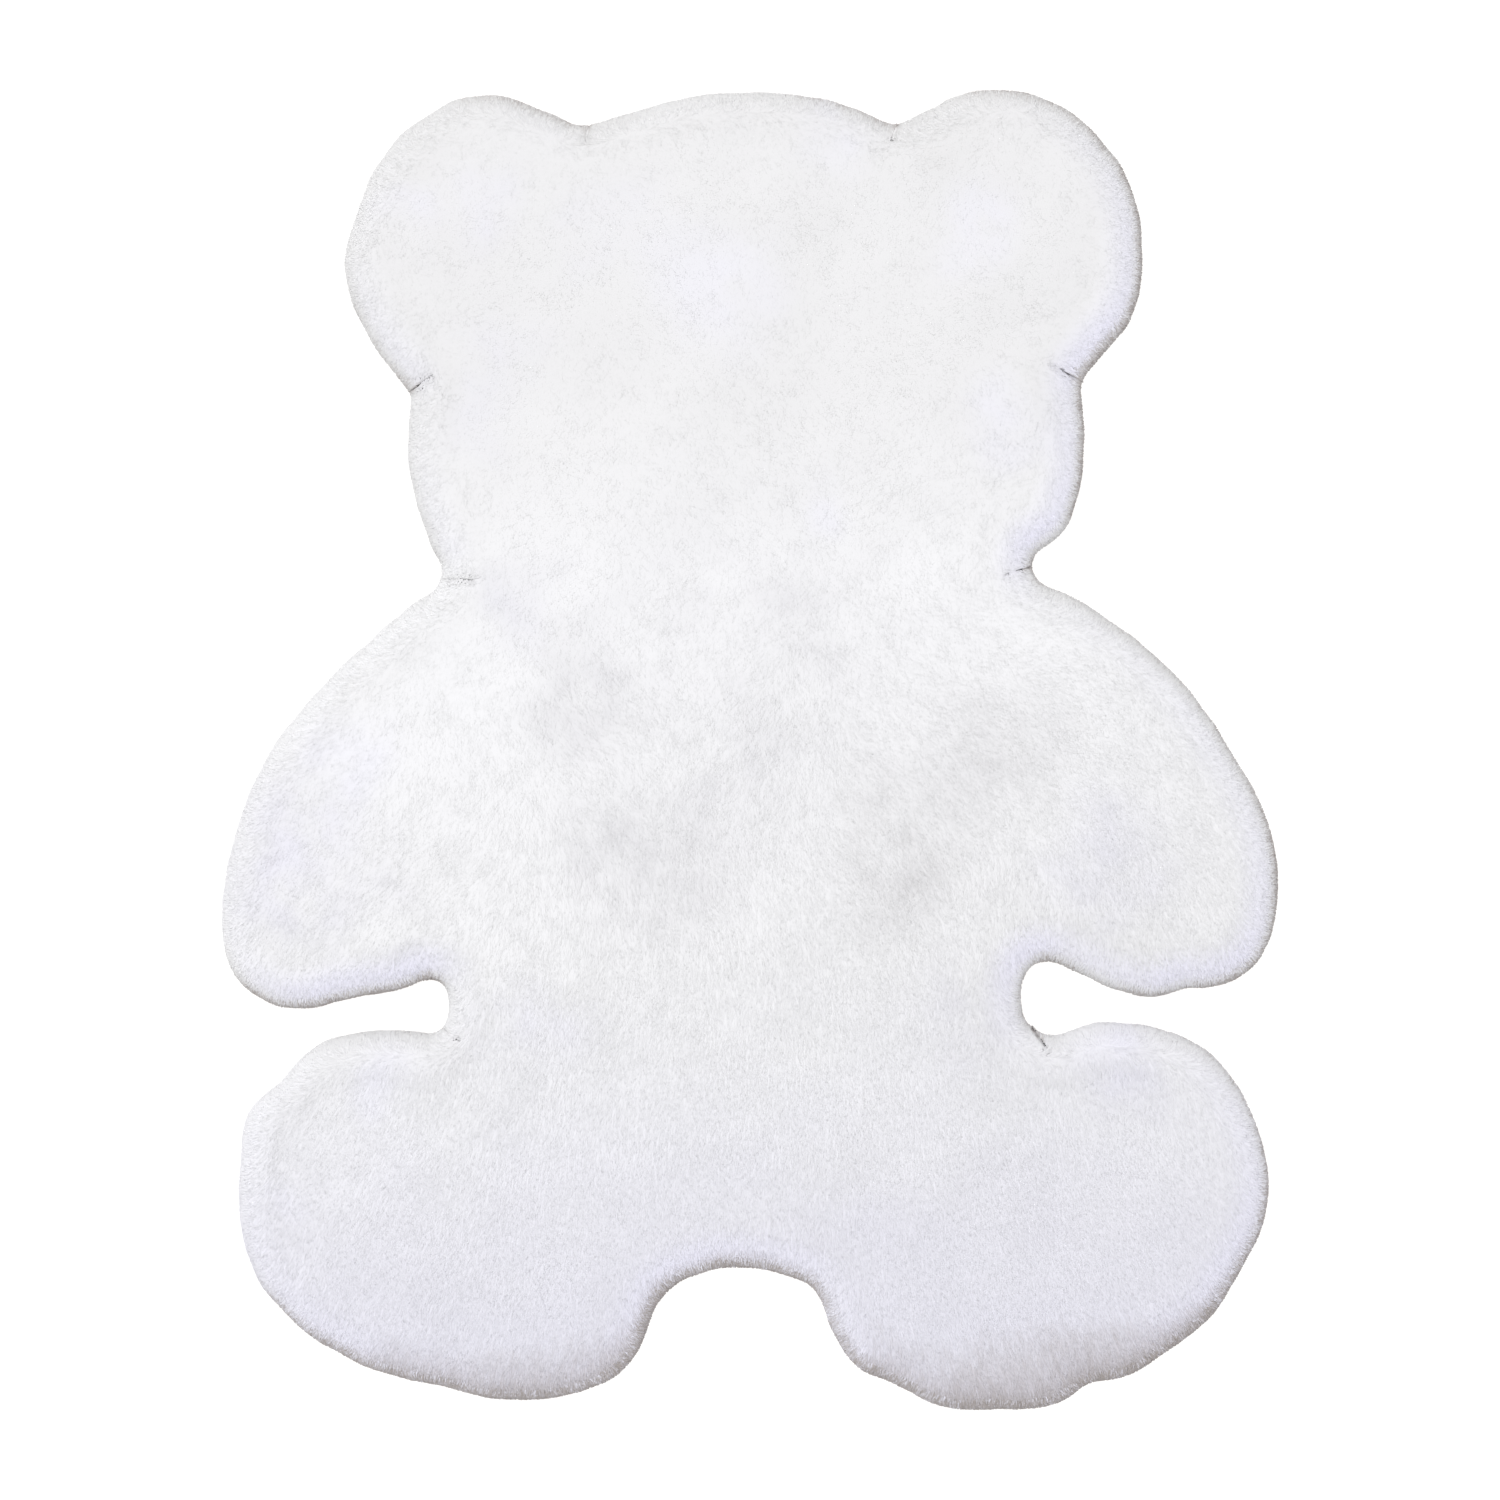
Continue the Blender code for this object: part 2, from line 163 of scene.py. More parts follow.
RIM_MIDDLE = 0.35  # its middle lies at this share of the way to its tip,
RIM_MIDDLE_OFF = 0.6  # at this share of the tip's distance off
RIM_MIDDLE_SINK = 0.0002  # and this much lower
RIM_UPWARD = 0.9  # how far the rim's locks are lit as pile that looks up
RIM_TONE_STRAY = 0.20  # how far their tones differ where the rim has painted shade
RIM_TUFT = 0.0042  # size of the tufts that they stand in
RIM_TUFT_TONE = 0.12  # and how far those differ
SWAY_HEIGHT, TUFT_HEIGHT = 0.5, 0.3  # width over height of what sways, and of a tuft
FLOOR_CLEARANCES = (0.0016, 0.0012, 0.0004)  # least heights of its root, middle and tip
PROFILE_STEPS = 400
PROFILE_SLOPE_STEP = 0.0003  # reach over which its slope is read
MAP_STRIPS = 16  # the rim's map has this many strips, one above the other
STRIP_MARGIN = 0.05  # free at both sides of a strip, as a share of it
MAP_MARGIN = 0.03  # and at the map's own edges
RIM_MAP_RADIUS = 0.45  # radius of a lock on the map, as a share of the pitch

# Clefts in the pile, where two lobes of the outline meet. The columns are the outer end, the inner
# end and the half width that stays free of locks, in millimetres, and how strong its painted shade
# is, which also sets how deep the dense fur sinks in it.
CLEFTS = (
    # place                x1    y1    x2    y2 free  dark
    ("left ear, crown",  -122,  471, -124,  459, 1.2, 0.75),
    ("right ear, crown",  111,  471,  107,  460, 1.1, 0.70),
    ("left ear, cheek",  -258,  270, -240,  283, 1.3, 0.80),
    ("right ear, cheek",  251,  277,  228,  291, 2.0, 0.80),
    ("left neck",        -230,  129, -204,  129, 0.7, 0.38),
    ("right neck",        210,  138,  193,  133, 0.9, 0.58),
    ("left thigh",       -230, -212, -219, -220, 1.0, 0.65),
    ("right thigh",       215, -213,  226, -229, 1.4, 0.85),
)
CLEFT_WIDTH = 0.0032  # half the width over which a cleft sinks and gets painted shade
CLEFT_CORE = 0.2  # share of it where its painted shade and sinking are whole
CLEFT_FADE, CLEFT_TAPER = 0.7, 0.8  # how much of its painted shade and sinking, and of its free width, its inner end lacks
CLEFT_SHADE = 0.7  # how much of its painted shade the locks beside it take on
CLEFT_DEPTH = 0.010  # how far the dense fur sinks in it
CLEFT_REACH = 0.0040  # how far its outer end runs on past the rim

# Painted shade: soft grey and lilac tones where the pile is brushed the other way, and how far it
# turns grey and lilac there. Places and radii are in millimetres.
TONES = (
    # place               x    y radius grey lilac
    ("right belly",     106,  -78,  95, 0.95, 0.10),
    ("right waist",     100,   -5,  40, 0.50, 0.05),
    ("right chest",     185,   10,  80, 0.80, 0.10),
    ("right arm",       268,  -80,  72, 0.60, 0.45),
    ("left belly",      -72,  -80,  85, 0.80, 0.15),
    ("left chest",     -125,   45,  82, 0.85, 0.15),
    ("belly, middle",     5,  -30,  75, 0.45, 0.10),
    ("left elbow",     -262, -102,  45, 0.35, 0.15),
    ("chest",             5,   85, 150, 0.50, 0.10),
    ("left shoulder",  -172,  112,  48, 0.60, 0.25),
    ("right hip",       159, -204,  70, 0.55, 0.25),
    ("right thigh",     284, -238,  52, 0.45, 0.55),
    ("lower belly",    -170, -204,  60, 0.15, 0.35),
    ("left paw",       -335,  -90,  80, 0.90, 0.55),
    ("left forearm",   -301,  -22,  45, 0.05, 0.35),
    ("left brow",      -100,  395,  60, 0.35, 0.20),
    ("left ear, all",  -215,  385,  95, 0.60, 0.05),
    ("left ear",       -204,  409,  52, 0.05, 0.30),
    ("left ear, out",  -262,  404,  34, 0.05, 0.30),
    ("left cheek",     -190,  275,  62, 0.50, 0.25),
    ("forehead",        -20,  352,  75, 0.00, 0.30),
    ("crown",            51,  460,  40, 0.05, 0.30),
    ("right ear base",  148,  447,  40, 0.50, 0.00),
    ("right ear",       176,  388,  52, 0.20, 0.40),
    ("right cheek",     193,  239,  48, 0.10, 0.40),
    ("right chin",       57,  182,  34, 0.05, 0.30),
    ("left thigh",     -284, -249,  45, 0.05, 0.45),
    ("left shin",      -365, -340,  28, 0.05, 0.40),
    ("right shin",      114, -363,  50, 0.35, 0.15),
    ("right calf",      220, -330,  60, 0.30, 0.10),
)
FEET_TONE = (-150, -510)  # painted lilac shade comes in between these heights, in millimetres, towards the feet
FEET_TURN = 0.05  # how far the feet's tone turns to the right
# painted shade at the feet: how far they turn grey and lilac, and how much dark painted shade they get
FEET_GREY, FEET_LILAC, FEET_SHADE = 0.74, 0.78, 0.56
FEET_GREY_POWER, FEET_SHADE_POWER = 3, 4  # these two come in later than the lilac
FEET_STREAK = (0.0032, 0.0080)  # width and length of the streaks in their painted shade
FEET_STREAK_TONE = 0.16  # and how far those differ
HEAD_TONE = (80, 300)  # and painted grey shade comes in between these heights, towards the head
HEAD_GREY = 0.58
# Painted shade on the rim, darkest where it looks away from the key light: how much of it there is
# at these distances in from the rim, by the way the rim looks, in eighths of a turn anticlockwise.
# It has faded out at the last of them.
RIM_SHADE_DEPTHS = (0.0025, 0.006, 0.010, 0.015, 0.022, 0.032, 0.044)
RIM_SHADES = (
    ("right",       0.86, 0.42, 0.00, 0.00, 0.00, 0.00),
    ("upper right", 0.66, 0.36, 0.00, 0.00, 0.00, 0.00),
    ("up",          0.58, 0.36, 0.26, 0.20, 0.10, 0.04),
    ("upper left",  0.05, 0.00, 0.05, 0.18, 0.14, 0.14),
    ("left",        0.00, 0.00, 0.00, 0.00, 0.00, 0.10),
    ("lower left",  0.79, 0.40, 0.00, 0.00, 0.00, 0.08),
    ("down",        0.98, 0.61, 0.44, 0.35, 0.21, 0.10),
    ("lower right", 0.87, 0.59, 0.45, 0.32, 0.13, 0.05),
)
# Where the rim's painted shade is stronger or weaker than that. Places and radii are in millimetres.
RIM_SPOTS = (
    # place                 x    y radius shade
    ("right sole, out",   325, -445,  75,  0.06),
    ("right sole",        222, -494,  80,  0.06),
    ("crotch",              0, -393,  60,  0.16),
    ("crotch, right",      52, -425,  42,  0.26),
    ("crotch, left",      -70, -425,  42,  0.26),
    ("right calf",        384, -360,  55,  0.06),
    ("right hand",        397,  -85,  60,  0.08),
    ("under right hand",  290, -184,  75, -0.24),
    ("right armpit",      212, -177,  30, -0.20),
    ("right neck",        231,  155,  30, -0.35),
    ("left cheek, ear",  -285,  300,  40, -0.15),
    ("crown",             -25,  500,  95, -0.35),
    ("above right hip",   295, -210,  60,  0.14),
)
RIM_SPOT_CORE = 0.3  # share of its radius within which a spot is whole
RIM_SPOT_DEPTH = 0.020  # distance in over which it fades
RIM_LILAC_WAY = np.array((0.55, -0.835))  # the way the rim looks where its painted lilac shade is strongest
RIM_LILAC_POWER = 2  # how fast it falls off to both sides of that
RIM_LILAC_DEPTHS = (0.002, 0.010, 0.038)  # how far in it starts, peaks and ends
PAINTED_RIM_LIGHT = 2.1  # painted light: how much lighter the rim's locks are, in ranges of a lock's own tone
RIM_LIGHT_DEPTHS = (0.007, 0.028)  # distances in between which that fades
GREY_AT = 0.6  # the pile's tone runs from white at 0 to painted grey shade here, and on to dark painted shade at 1
TONE_CORE = 0.15  # share of its radius within which a tone is whole
TONE_CLOUD = 0.045  # size of the clouds that break the tones' edges up
TONE_SHIFT = 0.020  # how far they move them

CLOUD_MEAN = 0.75  # mean strength of the tones
CLOUDS = ((0.022, 0.45), (0.009, 0.25))  # size of the clouds in it, and their strength

# Seeds of the smooth noises.
(
    SHIFT_X, SHIFT_Y, LARGE_CLOUDS, SMALL_CLOUDS, LUMPS, SWIRLING,
    SMALL_SWIRLING, CLUMPS, SWAYING, WAVES, TUFTS, STREAKS,
) = range(1, 13)


def blend(low, high, value):
    """0 below low, 1 above high, and a smooth step between."""
    share = np.clip((value - low) / (high - low), 0.0, 1.0)
    return share * share * (3.0 - 2.0 * share)


def soft_noise(x, y, size, seed):
    """Smooth random values from -1 to 1 whose lumps have this size."""
    cells = 256
    chance = np.random.default_rng(SEED * 1000 + seed)
    lattice = chance.uniform(-1.0, 1.0, (cells, cells))
    turn = chance.uniform(0.0, 2.0 * np.pi)
    x, y = x * np.cos(turn) - y * np.sin(turn), x * np.sin(turn) + y * np.cos(turn)
    u, v = x / size + cells / 2, y / size + cells / 2
    i, j = np.floor(u).astype(int), np.floor(v).astype(int)
    s, t = blend(0.0, 1.0, u - i), blend(0.0, 1.0, v - j)
    i, j, i1, j1 = i % cells, j % cells, (i + 1) % cells, (j + 1) % cells
    low = lattice[i, j] * (1 - s) + lattice[i1, j] * s
    high = lattice[i, j1] * (1 - s) + lattice[i1, j1] * s
    return low * (1 - t) + high * t


def columns(*parts):
    return np.column_stack(parts)


def unit(vectors):
    return vectors / np.maximum(np.linalg.norm(vectors, axis=-1, keepdims=True), 1e-12)


# ---- The rug's form, read from the solid


def solid_arrays(node):
    """The solid's corners, each of them once, and its triangles."""
    mesh = node.data
    mesh.calc_loop_triangles()
    places = np.array([vertex.co for vertex in mesh.vertices])
    triangles = np.array([triangle.vertices for triangle in mesh.loop_triangles])
    _, kept, number = np.unique(
        np.round(places / WELD).astype(int), axis=0, return_index=True, return_inverse=True
    )
    return places[kept], number.ravel()[triangles]


def border(triangles):
    """The closed line of vertices round a patch of faces."""
    sides = np.vstack([triangles[:, [0, 1]], triangles[:, [1, 2]], triangles[:, [2, 0]]])
    known = set(map(tuple, sides.tolist()))
    after = {a: b for a, b in known if (b, a) not in known}
    start = min(after)
    line, here = [start], after[start]
    while here != start:
        line.append(here)
        here = after[here]
    return line


def lengths_along(points):
    sides = np.linalg.norm(np.roll(points, -1, axis=0) - points, axis=1)
    return np.concatenate([[0.0], np.cumsum(sides)])


def read_along(line, values, stations):
    """The values that belong to a closed line's points, read at distances along it."""
    closed, along = np.vstack([values, values[:1]]), lengths_along(line)
    return np.column_stack([np.interp(stations % along[-1], along, closed[:, k]) for k in (0, 1)])


def evenly_spaced(points, pitch):
    length = lengths_along(points)[-1]
    stations = np.linspace(0.0, length, round(length / pitch), endpoint=False)
    return read_along(points, points, stations)


def smoothed_line(points, passes):
    for _ in range(passes):
        points = (np.roll(points, 1, axis=0) + 2 * points + np.roll(points, -1, axis=0)) / 4
    return points


def outward(points):
    """Unit vectors that point out of a line that runs anticlockwise."""
    ahead = np.roll(points, -1, axis=0) - np.roll(points, 1, axis=0)
    return unit(columns(ahead[:, 1], -ahead[:, 0]))


def inside(x, y, line):
    held = np.zeros(x.shape, bool)
    for (x1, y1), (x2, y2) in zip(line, np.roll(line, -1, axis=0)):
        if y1 != y2:
            level = (y < y1) != (y < y2)
            held ^= level & (x < x1 + (y - y1) * (x2 - x1) / (y2 - y1))
    return held


class Field:
    """Values on an even grid over the rug, read smoothly between its points."""

    def __init__(self, values):
        self.values = values

    def at(self, x, y):
        height, width = self.values.shape[:2]
        u = np.clip((np.asarray(x) - GRID_X[0]) / GRID_STEP, 0, width - LAST_CELL)
        v = np.clip((np.asarray(y) - GRID_Y[0]) / GRID_STEP, 0, height - LAST_CELL)
        i, j = v.astype(int), u.astype(int)
        s, t = u - j, v - i
        if self.values.ndim > 2:
            s, t = s[..., None], t[..., None]
        low = self.values[i, j] * (1 - s) + self.values[i, j + 1] * s
        high = self.values[i + 1, j] * (1 - s) + self.values[i + 1, j + 1] * s
        return low * (1 - t) + high * t


def blurred(values, passes):
    for _ in range(passes):
        for axis in (0, 1):
            values = (np.roll(values, 1, axis) + 2 * values + np.roll(values, -1, axis)) / 4
    return values


def depth_grid(line):
    """Distance in from the rim at each grid point, below 0 outside the rug."""
    tree = KDTree(len(line))
    for number, (x, y) in enumerate(line):
        tree.insert((x, y, 0.0), number)
    tree.balance()
    x, y = np.meshgrid(GRID_X, GRID_Y)
    far = np.array([tree.find((a, b, 0.0))[2] for a, b in zip(x.ravel(), y.ravel())])
    return np.where(inside(x, y, line), 1.0, -1.0) * far.reshape(x.shape)


def slope_height(depth):
    """Height of the pile's form, without lumps, at a distance in from the rim."""
    share = np.clip(1.0 - depth / RIM_ROUND, 0.0, 1.0)
    return RIM_HEIGHT + (PILE_TOP - RIM_HEIGHT) * (1.0 - share**RIM_FULLNESS) ** (1.0 / RIM_FULLNESS)


def solid_top_grid(places, triangles):
    """Height of the solid's top over each grid point, or 0 beside it."""
    tree = BVHTree.FromPolygons(places.tolist(), triangles.tolist())
    down, high = Vector((0, 0, -1)), 1.0
    heights = np.zeros((len(GRID_Y), len(GRID_X)))
    for i, y in enumerate(GRID_Y):
        for j, x in enumerate(GRID_X):
            hit = tree.ray_cast(Vector((x, y, high)), down)[0]
            if hit is not None:
                heights[i, j] = hit.z
    return heights


def cleft_lines():
    """Each cleft's outer end, the way along it, its length, free half width and darkness."""
    for _, x1, y1, x2, y2, free, dark in CLEFTS:
        ends = np.array(((x1, y1), (x2, y2))) * MM
        length = np.linalg.norm(ends[1] - ends[0])
        way = (ends[1] - ends[0]) / length
        yield ends[0] - way * CLEFT_REACH, way, length + CLEFT_REACH, free * MM, dark


def cleft_sink_and_painted_shade(x, y):
    """How much a place belongs to the bottom of a cleft, from 0 on the whole pile up to 1: it sets how far
    the dense fur sinks there and how much painted shade it gets.
    """
    deepest = np.zeros(np.shape(x))
    for start, way, length, _, dark in cleft_lines():
        run = np.clip((x - start[0]) * way[0] + (y - start[1]) * way[1], 0.0, length)
        across = np.hypot(x - start[0] - run * way[0], y - start[1] - run * way[1])
        share = dark * (1.0 - CLEFT_FADE * (run / length) ** 2)
        share = share * (1.0 - blend(CLEFT_CORE, 1.0, across / CLEFT_WIDTH))
        deepest = np.maximum(deepest, share)
    return deepest


def part_at_clefts(roots, points):
    """Keeps points of locks on their roots' side of each cleft. Both are places in the plane."""
    for start, way, length, free, _ in cleft_lines():
        side = np.array((-way[1], way[0]))
        run = (points - start) @ way
        near = (run > 0.0) & (run < length)
        gap = free * (1.0 - CLEFT_TAPER * np.clip(run / length, 0.0, 1.0) ** 2)
        root_side = np.sign((roots - start) @ side)
        across = ((points - start) @ side) * root_side
        short = np.where(near & (across < gap) & (across > -LOCK_LEAN[1]), gap - across, 0.0)
        points = points + side * (short * root_side)[:, None]
    return points


# ---- Meshes


def add_object(name, data, place=(0.0, 0.0, 0.0)):
    thing = bpy.data.objects.new(name, data)
    thing.location = place
    bpy.context.scene.collection.objects.link(thing)
    return thing


def new_piece(name, mesh, material):
    """An object for this mesh, in place, riding on the rug's only body."""
    mesh.materials.append(material)
    piece = add_object(name, mesh)
    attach(piece, "root")
    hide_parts("fur_rug")
    return piece


def add_pile_colours(mesh, along, grey, lilac, own):
    """Stores what the pile's material reads: place along the lock, both tones with their painted shade,
    its own tone with painted light at the rim.
    """
    layer = mesh.attributes.new("pile", "FLOAT_COLOR", "POINT")
    layer.data.foreach_set("color", columns(along, grey, lilac, own).ravel())


def add_map(mesh, corners):
    """Gives the mesh the map of its finish, with a place for each face's corner."""
    layer = mesh.uv_layers.new(name="OFBake")
    layer.uv.foreach_set("vector", corners.astype(np.float32).ravel())


def within_square(x, y, margin):
    """Places on a square map that keeps a margin round them, and a metre's size on it."""
    metre = 1.0 / (max(np.ptp(x), np.ptp(y)) + 2.0 * margin)
    return (columns(x - x.min(), y - y.min()) + margin) * metre, metre


def lock_triangles(count, levels):
    """The triangles of locks that have this many levels of points from root to tip."""
    tip, last_ring = 3 * (levels - 1), 3 * (levels - 2)
    faces = []
    for ring in range(0, last_ring, 3):
        for k in range(3):
            a, b = ring + k, ring + (k + 1) % 3
            faces += [(a, b, b + 3), (a, b + 3, a + 3)]
    faces += [(last_ring + k, last_ring + (k + 1) % 3, tip) for k in range(3)]
    first = np.arange(count) * (tip + 1)
    return (first[:, None, None] + np.array(faces)).reshape(-1, 3)


def lock_mesh(name, stems, radii, roll, face, map_places, map_radius, tones, own):
    """Many tapering three-sided locks in one mesh, flattened as combed pile is, with a ridge on top.
    stems has each lock's points from root to tip, radii its half width at each of them but the tip,
    roll how far it is turned about itself, and face the way that the pile faces there."""
    count, levels = stems.shape[:2]
    axis = unit(stems[:, -1] - stems[:, 0])
    side = unit(np.cross(face, axis))
    ridge = np.cross(axis, side)
    turns = roll[:, None] + np.pi / 2 + np.arange(3) * 2.0 * np.pi / 3.0
    wide, high = np.cos(turns)[..., None], np.sin(turns)[..., None] * LOCK_FLATNESS
    ring = wide * side[:, None] + high * ridge[:, None]
    flat_ring = np.stack([np.cos(turns), np.sin(turns)], axis=-1)
    soft = unit(face[:, None] * (1.0 - LOCK_ROUNDNESS) + ring * LOCK_ROUNDNESS)
    corners, flat, along, normals = [], [], [], []
    for level in range(levels - 1):
        share = level / (levels - 1)
        corners.append(stems[:, level, None] + ring * radii[:, level, None, None])
        flat.append(map_places[:, None] + flat_ring * (map_radius * (1.0 - share)))
        along.append(np.full((count, 3), share))
        normals.append(soft)
    corners = np.concatenate([*corners, stems[:, -1:]], axis=1)
    flat = np.concatenate([*flat, map_places[:, None]], axis=1).reshape(-1, 2)
    along = np.concatenate([*along, np.ones((count, 1))], axis=1)
    normals = np.concatenate([*normals, face[:, None]], axis=1)

    triangles = lock_triangles(count, levels)
    mesh = bpy.data.meshes.new(name)
    mesh.from_pydata(corners.reshape(-1, 3).tolist(), [], triangles.tolist())
    grey, lilac, own = (np.repeat(tone, corners.shape[1]) for tone in (*tones, own))
    add_pile_colours(mesh, along.ravel(), grey, lilac, own)
    add_map(mesh, flat[triangles])
    mesh.shade_smooth()
    mesh.normals_split_custom_set_from_vertices(normals.reshape(-1, 3).tolist())
    return mesh


def staggered_grid(pitch, jitter, chance):
    """A grid of triangles over the rug, each point moved a little."""
    row_pitch = pitch * np.sqrt(0.75)
    y = np.arange(GRID_Y[0], GRID_Y[-1], row_pitch)
    x = np.arange(GRID_X[0], GRID_X[-1], pitch)
    grid_x, grid_y = np.meshgrid(x, y)
    grid_x[1::2] += pitch / 2
    moves = chance.uniform(-jitter * pitch, jitter * pitch, (2, *grid_x.shape))
    return (grid_x + moves[0]).ravel(), (grid_y + moves[1]).ravel()


def in_order(mesh):
    """The mesh with its triangles in an order that is the same each time."""
    places = [vertex.co[:] for vertex in mesh.vertices]
    faces = np.array([polygon.vertices[:] for polygon in mesh.polygons])
    turn = faces.argmin(axis=1)[:, None] + np.arange(3)
    faces = np.take_along_axis(faces, turn % 3, axis=1)
    mesh.clear_geometry()
    mesh.from_pydata(places, [], faces[np.lexsort(faces.T[::-1])].tolist())
    return mesh


def slab(name, line, points, top, bottom_line, bottom):
    """A closed mesh: a top through points inside a line, a side down to bottom_line, and a flat
    bottom. top gives the height at a place."""
    all_points = np.vstack([line, points])
    ring = [(i, (i + 1) % len(line)) for i in range(len(line))]
    flat, _, triangles, sources, _, _ = delaunay_2d_cdt(
        [Vector(p) for p in all_points], ring, [], CUT_INSIDE, SAME_PLACE
    )
    x, y = np.array(flat).T
    heights = top(x, y)
    mesh = bpy.data.meshes.new(name)
    mesh.from_pydata(columns(x, y, heights).tolist(), [], triangles)
    work = bmesh.new()
    work.from_mesh(mesh)
    work.verts.ensure_lookup_table()
    number = {work.verts[i]: source[0] for i, source in enumerate(sources) if source}
    made = bmesh.ops.extrude_edge_only(work, edges=[e for e in work.edges if e.is_boundary])["geom"]
    for vertex in [item for item in made if isinstance(item, bmesh.types.BMVert)]:
        above = next(v for e in vertex.link_edges if (v := e.other_vert(vertex)) in number)
        vertex.co = (*bottom_line[number[above]], bottom)
    edges = [e for e in work.edges if e.is_boundary]
    bmesh.ops.triangle_fill(work, use_beauty=True, use_dissolve=False, edges=edges)
    bmesh.ops.triangulate(work, faces=work.faces)
    bmesh.ops.recalc_face_normals(work, faces=work.faces)
    work.to_mesh(mesh)
    work.free()
    return in_order(mesh)


# ---- Pieces


def ground_cloth(line, material):
    """The flat cloth that the pile grows from, cut a little inside the rim."""
    chance = np.random.default_rng(SEED + 1)
    x, y = staggered_grid(CLOTH_PITCH, 0.0, chance)
    keep = depth.at(x, y) > BASE_INSET + CLOTH_PITCH / 2
    mesh = slab(
        "ground_cloth", line, columns(x, y)[keep],
        lambda x, y: np.full(len(x), CLOTH_THICKNESS), line, 0.0,
    )
    return new_piece("ground_cloth", mesh, material)


def tones_at(x, y):
    """How much painted grey and lilac shade the pile has at a place, from 0 to 1."""
    wander_x = x + TONE_SHIFT * soft_noise(x, y, TONE_CLOUD, SHIFT_X)
    wander_y = y + TONE_SHIFT * soft_noise(x, y, TONE_CLOUD, SHIFT_Y)
    grey, lilac = np.zeros(len(x)), np.zeros(len(x))
    for _, tone_x, tone_y, radius, how_grey, how_lilac in TONES:
        away = np.hypot(wander_x - tone_x * MM, wander_y - tone_y * MM)
        share = 1.0 - blend(TONE_CORE, 1.0, away / (radius * MM))
        grey += share * how_grey * (1.0 - grey)
        lilac += share * how_lilac * (1.0 - lilac)
    cloud = CLOUD_MEAN
    for (size, change), seed in zip(CLOUDS, (LARGE_CLOUDS, SMALL_CLOUDS)):
        cloud += change * soft_noise(x, y, size, seed)
    grey, lilac = np.clip(grey * cloud, 0.0, 1.0), np.clip(lilac * cloud, 0.0, 1.0)
    # painted grey shade towards the head
    high = blend(*HEAD_TONE, wander_y / MM)
    grey += high * HEAD_GREY * (1.0 - grey)
    # painted lilac, grey and dark shade towards the feet, in streaks
    low_y = wander_y / MM - FEET_TURN * x / MM
    low = blend(0.0, 1.0, (low_y - FEET_TONE[0]) / (FEET_TONE[1] - FEET_TONE[0]))
    grey += low**FEET_GREY_POWER * FEET_GREY * (1.0 - grey)
    lilac += low * FEET_LILAC * (1.0 - lilac)
    width, length = FEET_STREAK
    streak = 1.0 + FEET_STREAK_TONE * soft_noise(x, y * width / length, width, STREAKS)
    return shaded(grey * GREY_AT, low**FEET_SHADE_POWER * FEET_SHADE * streak), lilac


def with_rim_tones(x, y, grey, lilac):
    """The same tones with the rim's painted shade and its painted lilac shade added."""
    inward, way = depth.at(x, y), out.at(x, y)
    start, peak, end = RIM_LILAC_DEPTHS
    cast = blend(start, peak, inward) * (1.0 - blend(peak, end, inward))
    turned = np.clip(0.5 + 0.5 * (way @ RIM_LILAC_WAY), 0.0, 1.0) ** RIM_LILAC_POWER
    lilac = lilac + (1.0 - lilac) * cast * turned
    return shaded(grey, rim_shade(x, y, inward, way)), lilac


def rim_shade(x, y, inward, way):
    """How much painted shade the rim gets this far in from it, where it looks this way."""
    ways = len(RIM_SHADES)
    turn = (np.arctan2(way[:, 1], way[:, 0]) / (2.0 * np.pi / ways)) % ways
    first = np.minimum(turn.astype(int), ways - 1)
    share = turn - first
    shades = np.array([np.interp(inward, RIM_SHADE_DEPTHS, (*row[1:], 0.0)) for row in RIM_SHADES])
    lock = np.arange(len(x))
    shade = shades[first, lock] * (1.0 - share) + shades[(first + 1) % ways, lock] * share
    for _, spot_x, spot_y, radius, more in RIM_SPOTS:
        away = np.hypot(x - spot_x * MM, y - spot_y * MM) / (radius * MM)
        near = 1.0 - blend(RIM_SPOT_CORE, 1.0, away)
        shade += more * near * (1.0 - blend(0.0, RIM_SPOT_DEPTH, inward))
    return np.clip(shade, 0.0, 1.0)


def own_tones_and_painted_light(x, y, chance):
    """Each lock's own tone: 0 to 1 at random on the rug's top, with painted light added near the rim."""
    near = 1.0 - blend(*RIM_LIGHT_DEPTHS, depth.at(x, y))
    return chance.uniform(0.0, 1.0, len(x)) + PAINTED_RIM_LIGHT * near


def shaded(grey, shade):
    """The tone of pile that is this grey, with this much dark painted shade over it."""
    return np.clip(grey * (1.0 - shade) + shade, 0.0, 1.0)


def normal_at(x, y):
    reach = GRID_STEP
    rise_x = (top.at(x + reach, y) - top.at(x - reach, y)) / (2 * reach)
    rise_y = (top.at(x, y + reach) - top.at(x, y - reach)) / (2 * reach)
    return unit(columns(-rise_x, -rise_y, np.ones(len(x))))


